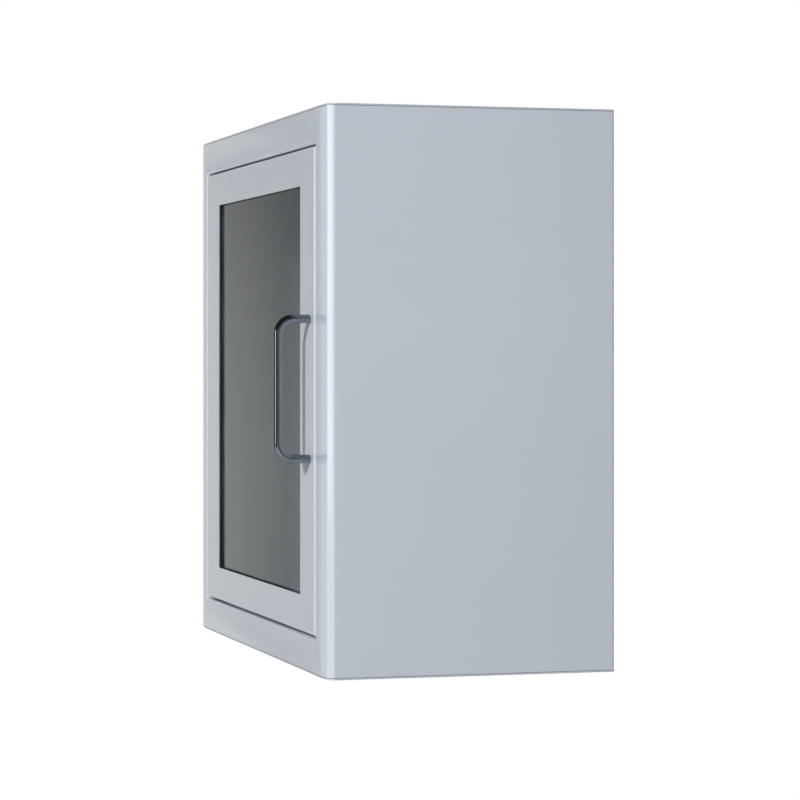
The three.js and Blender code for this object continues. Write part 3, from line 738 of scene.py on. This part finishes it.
def make_lower_pin():
    box = Box("lower_hinge_pin")
    head = box.z1 - PIN_HEAD_HEIGHT
    corners = [(0, box.z0, 0), (PIN_RADIUS, box.z0, 0.6), (PIN_RADIUS, head, 0.1), (PIN_HEAD, head, 0.25),
               (PIN_HEAD, box.z1, 0.6), (0, box.z1, 0)]
    add_solid("lower_hinge_pin", [turned("Z", corners, pivot)], "door", zinc)


def make_upper_pin():
    """The sprung pin: a bent wire with a collar, pulled down by its tail to let the door out."""
    box = Box("upper_hinge_pin")
    tail_z = box.z0 + PIN_RADIUS
    route = bent_route([(pivot[0], box.y1, tail_z), (*pivot, tail_z), (*pivot, box.z1)], PIN_BEND)
    length = len(route) - 1
    chamfer_long, chamfer_slope = 0.5, 0.9

    def radius_at(share):
        from_end = min(share, 1 - share) * length
        return PIN_RADIUS - max(0.0, chamfer_long - from_end) * chamfer_slope

    high = door.z1 - SHEET - SEAM
    low = high - PIN_HEAD_HEIGHT
    bore = PIN_RADIUS - 0.1
    corners = [(bore, low, 0.05), (PIN_HEAD, low, 0.3), (PIN_HEAD, high, 0.3), (bore, high, 0.05)]
    parts = [swept(route, radius_at, 32), turned("Z", corners, pivot)]
    add_solid("upper_hinge_pin", parts, "upper_pin", zinc)


def make_pin_guide():
    """A folded angle on the inside of the door, whose ear guides the sprung pin and carries its spring."""
    box = Box("upper_pin_guide")
    low, high = GUIDE_EAR, GUIDE_EAR + SHEET
    fillet = 1.0
    leg = block((box.x0, box.x0 + SHEET), (box.y0, box.y1), (box.z0, box.z1))
    root, face = box.x0 + 0.2, box.x0 + SHEET
    section = rounded([(root, low, 0), (box.x1, low, 0), (box.x1, high, 0), (face + fillet, high, 0),
                       (face, high + fillet, 0), (root, high + fillet, 0)])
    ear = prism("Y", [(p.x, p.y) for p in section], box.y0, box.y1)
    obj = joined_to(object_of("upper_pin_guide", mesh_of([leg])), [ear])
    bored(obj, [through("Z", PIN_HOLE, low, pivot)])
    add_piece("upper_pin_guide", obj, "door", zinc, ["upper_pin_guide"], edge=0.15)


def make_pin_spring():
    """A compression spring with a closed turn at each end, pressed shorter as the pin slides down."""
    box = Box("upper_pin_spring")
    wire, turns, closed_turns = 0.35, 8, 1.0
    mean = (box.x1 - box.x0) / 2 - wire
    low, high = box.z0 + wire, box.z1 - wire
    per_turn = 28
    total = turns + 2 * closed_turns
    route = []
    for k in range(round(total * per_turn) + 1):
        done = k / per_turn
        closed_low = min(done, closed_turns) * 2 * wire
        closed_high = max(0.0, done - closed_turns - turns) * 2 * wire
        open_rise = high - low - 4 * wire * closed_turns
        rise = closed_low + closed_high + open_rise * min(max(done - closed_turns, 0) / turns, 1)
        angle = 2 * math.pi * done
        x, y = mean * math.cos(angle), mean * math.sin(angle)
        route.append(Vector((pivot[0] + x, pivot[1] + y, low + rise)))
    spring = add_solid("upper_pin_spring", [swept(route, lambda share: wire, 12)], "door", zinc)
    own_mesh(spring)


for name, end in (("upper", 1), ("lower", -1)):
    make_hinge_bracket(f"{name}_hinge_bracket", end)
    make_bush(f"{name}_hinge_bush", end)
make_lower_pin()
make_upper_pin()
make_pin_guide()
make_pin_spring()

# ------------------------------------------------------------------------------------------------- the door

cutout = (pane.x0 + PANE_OVERLAP, pane.x1 - PANE_OVERLAP, pane.z0 + PANE_OVERLAP, pane.z1 - PANE_OVERLAP)
door_rear = FRONT + DOOR_DEPTH
nuts = [Box(f"retainer_nut_{i}") for i in range(1, 9)]
handle_heights = [Box(f"handle_screw_{which}").z for which in ("lower", "upper")]
rivets = [Box(f"strike_rivet_{which}") for which in ("lower", "upper")]


def make_door_panel():
    """The skin with its cut-out, folded back into a tray with an inward lip."""
    fold = [(-DOOR_SKIN, FRONT), (0, FRONT), (0, door_rear), (-DOOR_LIP, door_rear)]
    rows = []
    for p in folded(fold, SHEET):
        at_cutout = p.x < WELD - DOOR_SKIN and p.y < FRONT + 2 * SHEET
        outline = (door.x0 - p.x, door.x1 + p.x, door.z0 - p.x, door.z1 + p.x)
        rows.append(rectangle(cutout if at_cutout else outline, p.y))
    obj = object_of("door_panel", mesh_of([skin(rows, joined=True)]))
    drills = [through("Y", THREAD_HOLE, FRONT, (grip.x, z), before=1, beyond=3) for z in handle_heights]
    drills += [through("Y", THREAD_HOLE, door_rear, (r.x, r.z), before=2, beyond=1) for r in rivets]
    drills += [through("Z", PIN_HOLE, z, pivot, before=3, beyond=3) for z in (door.z0, door.z1)]
    add_piece("door_panel", bored(obj, drills), "door", paint, ["door_panel"], edge=0.15)


def make_studs():
    """The threaded weld studs that the retainers' nuts turn on, each with a plain tip."""
    root = FRONT + SHEET
    end = root + STUD_LENGTH
    tip_root = end - 0.6
    for i, nut in enumerate(nuts, 1):
        thread = threaded("Y", THREAD_RADIUS, THREAD_DEPTH, root, end - 0.4, (nut.x, nut.z))
        corners = [(0, tip_root, 0), (1.2, tip_root, 0), (1.0, end, 0.1), (0, end, 0)]
        tip = turned("Y", corners, (nut.x, nut.z), 24)
        add_solid(f"weld_stud_{i}", [thread, tip], "door", zinc, nodes=())


def make_gasket():
    """A black rubber frame behind the cut-out, with a bead along its free edge."""
    wide = cutout[3] - gasket.z1
    front, rear = gasket.y0, gasket.y1
    section = rounded([(0, front, 0.25), (0, rear, 0.25), (-wide, rear, 0.3), (-wide, front, 0.3)])
    add_solid("window_gasket", [around(cutout, section)], "door", rubber)


def make_pane():
    """The sheet, its edges ground to a fine arris."""
    arris = 0.35
    rows = []
    for inset, y in ((arris, pane.y0), (0, pane.y0 + arris), (0, pane.y1 - arris), (arris, pane.y1)):
        rows.append(rectangle((pane.x0 + inset, pane.x1 - inset, pane.z0 + inset, pane.z1 - inset), y))
    add_solid("window_pane", [skin(rows)], "door", glass)


def make_retainer(edge):
    """A folded strip along one edge of the pane: a lip behind it, a step past its edge and a foot."""
    name = f"retainer_{edge}"
    box = Box(name)
    x0, x1, z0, z1 = cutout
    base = {"top": z1, "bottom": z0, "left": x0, "right": x1}[edge]
    sign = 1 if edge in ("top", "right") else -1
    step = PANE_OVERLAP + SEAM
    lip = box.y1
    foot_out = step + RETAINER_FOOT
    line = [(RETAINER_LIP, lip - SHEET), (step, lip - SHEET), (step, INSIDE), (foot_out, INSIDE)]
    section = [(base + sign * p.x, p.y) for p in folded(line, SHEET, RETAINER_BEND)]
    if edge in ("top", "bottom"):
        strip = prism("X", [(y, z) for z, y in section], box.x0, box.x1)
    else:
        strip = prism("Z", section, box.z0, box.z1)
    near = [n for n in nuts if box.x0 < n.x < box.x1 and box.z0 < n.z < box.z1]
    drills = [through("Y", THREAD_HOLE, INSIDE, (n.x, n.z), before=1, beyond=2 * SHEET) for n in near]
    add_solid(name, [strip], "door", zinc, edge=0.15, cutters=drills)


def make_nut(i):
    """A hexagon nut, its corners chamfered at both faces, with a threaded bore."""
    name = f"retainer_nut_{i}"
    box = Box(name)
    across = NUT_ACROSS / 2
    sides = 72
    chamfer = 0.45
    rows = []
    levels = [(box.y0, chamfer), (box.y0 + 0.15, chamfer * 0.7), (box.y0 + 0.4, 0.0), (box.y1 - 0.4, 0.0),
              (box.y1 - 0.15, chamfer * 0.7), (box.y1, chamfer)]
    corner = across / math.cos(math.pi / 6)
    for y, less in levels:
        row = []
        for k in range(sides):
            turn = 2 * math.pi * k / sides
            flat = across / math.cos((turn + math.pi / 6) % (math.pi / 3) - math.pi / 6)
            reach = min(flat, corner - less)
            row.append((box.x + reach * math.cos(turn), y, box.z + reach * math.sin(turn)))
        rows.append(row)
    at = (box.x, box.z)
    bore = hole("Y", THREAD_HOLE, box.y0 - DRILL_OVER, box.y1 + DRILL_OVER, at)
    foot, mouth = box.y1 - 0.5, box.y1 + 0.2
    sink = turned("Y", [(0, foot, 0), (1.5, foot, 0), (2.2, mouth, 0), (0, mouth, 0)], at)
    obj = bored(object_of(name, mesh_of([skin(rows)])), [bore])
    add_piece(name, bored(obj, [sink]), "door", zinc, [name])


make_door_panel()
make_studs()
make_gasket()
make_pane()
for edge in ("top", "bottom", "left", "right"):
    make_retainer(edge)
for i in range(1, len(nuts) + 1):
    make_nut(i)

# ------------------------------------------------------------------------------------- handle and fasteners


def make_handle():
    """A bow of round bar, tapped at each foot for a screw through the door."""
    radius = (grip.x1 - grip.x0) / 2
    out = grip.y0 + radius
    low, high = handle_heights
    corners = [(grip.x, grip.y1, low), (grip.x, out, low), (grip.x, out, high), (grip.x, grip.y1, high)]
    route = bent_route(corners, HANDLE_BEND)
    chamfer = 0.35
    inward = Vector((0, -chamfer, 0))
    route = [route[0], route[0] + inward, *route[1:-1], route[-1] + inward, route[-1]]

    def radius_at(share):
        return radius - chamfer if share in (0.0, 1.0) else radius

    tapped = (grip.y1 - HANDLE_TAPPED, grip.y1 + DRILL_OVER)
    bores = [hole("Y", THREAD_HOLE, *tapped, (grip.x, z)) for z in handle_heights]
    add_solid("handle", [swept(route, radius_at, 64)], "door", steel, cutters=bores)


def make_washer(name):
    box = Box(name)
    radius = (box.x1 - box.x0) / 2
    corners = [(THREAD_HOLE, box.y0, 0), (radius, box.y0, 0.2), (radius, box.y1, 0.2),
               (THREAD_HOLE, box.y1, 0.1)]
    add_solid(name, [turned("Y", corners, (box.x, box.z))], "door", zinc)


def make_screw(name, axis, body):
    """A pan-head screw with a cross recess, its head at the high end of its axis."""
    box = Box(name)
    tip, top = (box.y0, box.y1) if axis == "Y" else (box.x0, box.x1)
    at = (box.x, box.z) if axis == "Y" else (box.y, box.z)
    head_radius, head_height = 2.8, 2.0
    seat = top - head_height
    corners = [(0, seat, 0), (head_radius, seat, 0.15), (head_radius, top - 0.9, 0.5),
               (head_radius * 0.72, top, 0.9), (0, top, 0)]
    head = turned(axis, corners, at)
    shank = threaded(axis, THREAD_RADIUS, THREAD_DEPTH, tip, seat + 0.1, at)
    obj = object_of(name, mesh_of([head]))
    wide, narrow, deep = 0.42, 0.26, 1.2
    arms = []
    for u, v in ((1.5, wide), (wide, 1.5)):
        rows = []
        for along, share in ((top - deep, narrow / wide), (top + 0.2, 1.1)):
            a, b = u * share, v * share
            rows.append([place(axis, at[0] + s * a, at[1] + t * b, along)
                         for s, t in ((-1, -1), (1, -1), (1, 1), (-1, 1))])
        arms.append(skin(rows))
    for arm in arms:
        bored(obj, [arm])
    rod = object_of("shank", mesh_of([shank]))
    merged = bmesh.new()
    merged.from_mesh(obj.data)
    merged.from_mesh(rod.data)
    merged.to_mesh(obj.data)
    merged.free()
    bpy.data.objects.remove(rod)
    add_piece(name, obj, body, zinc, [name])


def make_strike():
    box = Box("strike_plate")
    outline = rounded([(x, z, STRIKE_CORNER) for x, _, z in rectangle((box.x0, box.x1, box.z0, box.z1), 0)])
    drills = [hole("Y", THREAD_HOLE, box.y0 - DRILL_OVER, box.y1 + DRILL_OVER, (r.x, r.z)) for r in rivets]
    plate = prism("Y", outline, box.y0, box.y1)
    add_solid("strike_plate", [plate], "door", steel, edge=0.2, cutters=drills)


def make_rivet(name):
    """A blind rivet: a domed head behind the strike plate and a set head inside the door's lip."""
    box = Box(name)
    strike = Box("strike_plate")
    radius = (box.x1 - box.x0) / 2
    lip_front = door_rear - SHEET - SEAM
    rear = strike.y1 + SEAM
    corners = [(0, box.y0, 0), (radius * 0.8, box.y0, 0.3), (radius, lip_front, 0.1),
               (THREAD_RADIUS, lip_front, 0), (THREAD_RADIUS, rear, 0), (radius, rear, 0.1),
               (radius * 0.8, rear + 0.55, 0.3),
               (0.75, box.y1, 0.2), (0.6, box.y1 - 0.5, 0), (0, box.y1 - 0.5, 0)]
    add_solid(name, [turned("Y", corners, (box.x, box.z))], "door", zinc)


make_handle()
for which in ("upper", "lower"):
    make_washer(f"handle_washer_{which}")
    make_screw(f"handle_screw_{which}", "Y", "door")
    make_screw(f"catch_screw_{which}", "X", "cabinet")
    make_rivet(f"strike_rivet_{which}")
make_strike()

# ------------------------------------------------------------------------------------------ catch and stops

catch_screws = [Box(f"catch_screw_{which}") for which in ("upper", "lower")]


def make_catch():
    """A plastic box with its mouth towards the door, holding a magnet between two pole plates."""
    box = Box("catch_housing")
    magnet = Box("catch_magnet")
    left, right = Box("catch_pole_left"), Box("catch_pole_right")
    outline = rounded([(x, y, CATCH_CORNER) for x, _, y in rectangle((box.x0, box.x1, box.y0, box.y1), 0)])
    body = prism("Z", outline, box.z0, box.z1)
    deep = (box.y0 - DRILL_OVER, box.y1 - CATCH_FLOOR)
    mouth = block((left.x0 - SEAM, right.x1 + SEAM), deep, (magnet.z0 - SEAM, magnet.z1 + SEAM))
    tapped = (box.x1 - CATCH_TAPPED, box.x1 + DRILL_OVER)
    drills = [hole("X", THREAD_HOLE, *tapped, (s.y, s.z)) for s in catch_screws]
    add_solid("catch_housing", [body], "cabinet", nylon, edge=0.35, cutters=[mouth, *drills])
    add_solid("catch_magnet", [block((magnet.x0, magnet.x1), (magnet.y0, magnet.y1), (magnet.z0, magnet.z1))],
              "cabinet", ferrite, edge=0.3)
    for name, pole in (("catch_pole_left", left), ("catch_pole_right", right)):
        outline = rounded([(pole.y1, pole.z0, 0.3), (pole.y1, pole.z1, 0.3), (pole.y0, pole.z1, 1.5),
                           (pole.y0, pole.z0, 1.5)])
        add_solid(name, [prism("X", outline, pole.x0, pole.x1)], "cabinet", steel, edge=0.15)


def make_catch_bracket():
    box = Box("catch_bracket")
    line = [(box.x1, box.y1), (box.x0, box.y1), (box.x0, box.y0)]
    section = folded(line, BRACKET_SHEET, BRACKET_BEND)
    drills = [through("X", THREAD_HOLE, box.x0, (s.y, s.z), before=1, beyond=3) for s in catch_screws]
    add_solid("catch_bracket", [prism("Z", section, box.z0, box.z1)], "cabinet", zinc, edge=0.2,
              cutters=drills)


def make_stop_bracket(name, buffer_name):
    box = Box(name)
    buffer_box = Box(buffer_name)
    line = [(box.x0, box.y1), (box.x1, box.y1), (box.x1, box.y0)]
    section = folded(line[::-1], BRACKET_SHEET, BRACKET_BEND)
    drill = through("Y", THREAD_HOLE, box.y1, (buffer_box.x, buffer_box.z), before=3, beyond=1)
    add_solid(name, [prism("Z", section, box.z0, box.z1)], "cabinet", zinc, edge=0.2, cutters=[drill])


def make_buffer(name, bracket_name):
    """A rubber button held by a barb behind its bracket."""
    box = Box(name)
    bracket = Box(bracket_name)
    radius, barb_radius = 4.0, 2.3
    shelf_front = bracket.y1 - BRACKET_SHEET - SEAM
    barb = bracket.y1 + SEAM
    corners = [(0, box.y0, 0), (radius * 0.55, box.y0, 0), (radius * 0.86, box.y0 + 0.35, 0.8),
               (radius, box.y0 + 1.3, 0.8), (radius, shelf_front, 0.3), (THREAD_RADIUS, shelf_front, 0.1),
               (THREAD_RADIUS, barb, 0.1), (barb_radius, barb, 0.3), (0.75, box.y1, 0.3), (0, box.y1, 0)]
    add_solid(name, [turned("Y", corners, (box.x, box.z))], "cabinet", rubber)


make_catch()
make_catch_bracket()
for which in ("upper", "lower"):
    make_stop_bracket(f"{which}_stop_bracket", f"{which}_door_buffer")
    make_buffer(f"{which}_door_buffer", f"{which}_stop_bracket")

# ------------------------------------------------------------------------------------- camera, light, floor

scene = bpy.context.scene
scene.view_settings.view_transform = "Standard"
scene.view_settings.look = "None"


def towards(azimuth, elevation=0.0):
    """The direction from the cabinet to a place seen at an azimuth to the right of its front, in degrees."""
    a, e = math.radians(azimuth), math.radians(elevation)
    return Vector((math.sin(a) * math.cos(e), -math.cos(a) * math.cos(e), math.sin(e)))


def make_camera():
    """Level, a little above mid-height, looking almost along the front from the cabinet's right."""
    data = bpy.data.cameras.new("camera")
    data.sensor_width = 36
    data.lens = 131.4
    data.shift_y = -0.0552
    camera = bpy.data.objects.new("camera", data)
    corner = Vector((SIDE, FRONT, 0)) * MM
    camera.location = corner + Vector((1.898, -0.485, 0.024))
    azimuth = 74.23
    camera.rotation_euler = (-towards(azimuth)).to_track_quat("-Z", "Y").to_euler()
    scene.collection.objects.link(camera)
    scene.camera = camera


def make_softbox(name, azimuth, elevation, distance, width, height, radiance, lights=True, reflected=True):
    """A rectangular light that faces the cabinet, its face as bright as radiance, where 1 is white. It lights
    matt surfaces, is reflected in glossy ones, or both."""
    data = bpy.data.lights.new(name, "AREA")
    data.shape = "RECTANGLE"
    data.size = width
    data.size_y = height
    data.energy = radiance * math.pi * width * height
    light = bpy.data.objects.new(name, data)
    way = towards(azimuth, elevation)
    middle = Vector((0, FRONT / 2, 0)) * MM
    light.location = middle + way * distance
    light.rotation_euler = (-way).to_track_quat("-Z", "Y").to_euler()
    light.visible_camera = False
    light.visible_diffuse = lights
    light.visible_glossy = reflected
    scene.collection.objects.link(light)


# The light that the world gives: how bright it is at a share of the way from straight down to straight up,
# and brighter patches of it: (azimuth, elevation, full within, gone beyond, brightness), in degrees.
WORLD_LEVELS = [(0.0, 0.12), (0.42, 0.11), (0.5, 0.04), (0.6, 0.03), (1.0, 0.03)]
WORLD_PATCHES = [(-91, -2, 11.5, 16.5, 0.42), (-94, 0, 16, 38, 0.11), (212, 0, 16, 34, 2.0)]


def make_world():
    """White to the camera. The light it gives is greyer, dimmest from above, and uneven like a room."""
    world = bpy.data.worlds.new("studio")
    world.use_nodes = True
    tree = world.node_tree
    tree.nodes.clear()
    new = tree.nodes.new
    link = tree.links.new
    way = new("ShaderNodeTexCoord").outputs["Generated"]
    split = new("ShaderNodeSeparateXYZ")
    height = new("ShaderNodeMapRange")
    height.inputs["From Min"].default_value = -1
    height.inputs["From Max"].default_value = 1
    ramp = new("ShaderNodeValToRGB")
    steps = ramp.color_ramp.elements
    while len(steps) < len(WORLD_LEVELS):
        steps.new(1.0)
    for element, (at, level) in zip(steps, WORLD_LEVELS):
        element.position = at
        element.color = (level, level, level, 1)
    link(way, split.inputs[0])
    link(split.outputs["Z"], height.inputs["Value"])
    link(height.outputs[0], ramp.inputs["Fac"])
    level = ramp.outputs["Color"]
    for azimuth, elevation, full, gone, brightness in WORLD_PATCHES:
        nearness = new("ShaderNodeVectorMath")
        nearness.operation = "DOT_PRODUCT"
        nearness.inputs[1].default_value = towards(azimuth, elevation)
        patch = new("ShaderNodeMapRange")
        patch.interpolation_type = "SMOOTHSTEP"
        patch.inputs["From Min"].default_value = math.cos(math.radians(gone))
        patch.inputs["From Max"].default_value = math.cos(math.radians(full))
        patch.inputs["To Max"].default_value = brightness
        brighter = new("ShaderNodeMath")
        brighter.operation = "ADD"
        link(way, nearness.inputs[0])
        link(nearness.outputs["Value"], patch.inputs["Value"])
        link(level, brighter.inputs[0])
        link(patch.outputs[0], brighter.inputs[1])
        level = brighter.outputs[0]
    seen = new("ShaderNodeBackground")
    lit = new("ShaderNodeBackground")
    path = new("ShaderNodeLightPath")
    mixed = new("ShaderNodeMixShader")
    output = new("ShaderNodeOutputWorld")
    link(level, lit.inputs["Color"])
    link(path.outputs["Is Camera Ray"], mixed.inputs["Fac"])
    link(lit.outputs[0], mixed.inputs[1])
    link(seen.outputs[0], mixed.inputs[2])
    link(mixed.outputs[0], output.inputs["Surface"])
    seen.inputs["Color"].default_value = (1, 1, 1, 1)
    scene.world = world


FLOOR_LIFT = 0.45  # what is added to the floor's brightness where the camera sees it


def make_floor():
    """A plain pale floor, far enough below that a cabinet hung on a wall casts only a faint shadow on it."""
    depth, reach = 1.5, 7.0
    turns = [2 * math.pi * k / 96 for k in range(96)]
    mesh = bmesh.new()
    mesh.faces.new([mesh.verts.new((reach * math.cos(t), reach * math.sin(t), -depth)) for t in turns])
    floor = object_of("floor", mesh)
    pale = Nodes("floor", (0.9, 0.9, 0.9), 0.8)
    pale.tint(pale.noise(2, detail=2), (0.89, 0.89, 0.89), (0.91, 0.91, 0.91))
    path = pale.add("ShaderNodeLightPath")
    pale.shader.inputs["Emission Color"].default_value = (1, 1, 1, 1)
    seen = pale.add("ShaderNodeMath", operation="MULTIPLY")
    seen.inputs[1].default_value = FLOOR_LIFT
    pale.link(path.outputs["Is Camera Ray"], seen.inputs[0])
    pale.link(seen.outputs[0], pale.shader.inputs["Emission Strength"])
    floor.data.materials.append(pale.material)


make_camera()
make_world()
make_floor()
make_softbox("key", 38.5, 21, distance=6.0, width=0.8, height=0.8, radiance=152, reflected=False)
make_softbox("strip", 14, 5, distance=2.0, width=0.4, height=0.7, radiance=3.6, lights=False)
make_softbox("bounce", 88, 0, distance=2.4, width=1.8, height=1.2, radiance=0.22, lights=False)
make_softbox("facet_fill", -58, -2, distance=2.2, width=0.8, height=1.0, radiance=0.4)
make_softbox("rear_fill", 213, 4, distance=5.0, width=1.5, height=1.5, radiance=11, reflected=False)
make_softbox("side_fill", 100, 4, distance=0.9, width=0.5, height=0.12, radiance=1.0, reflected=False)
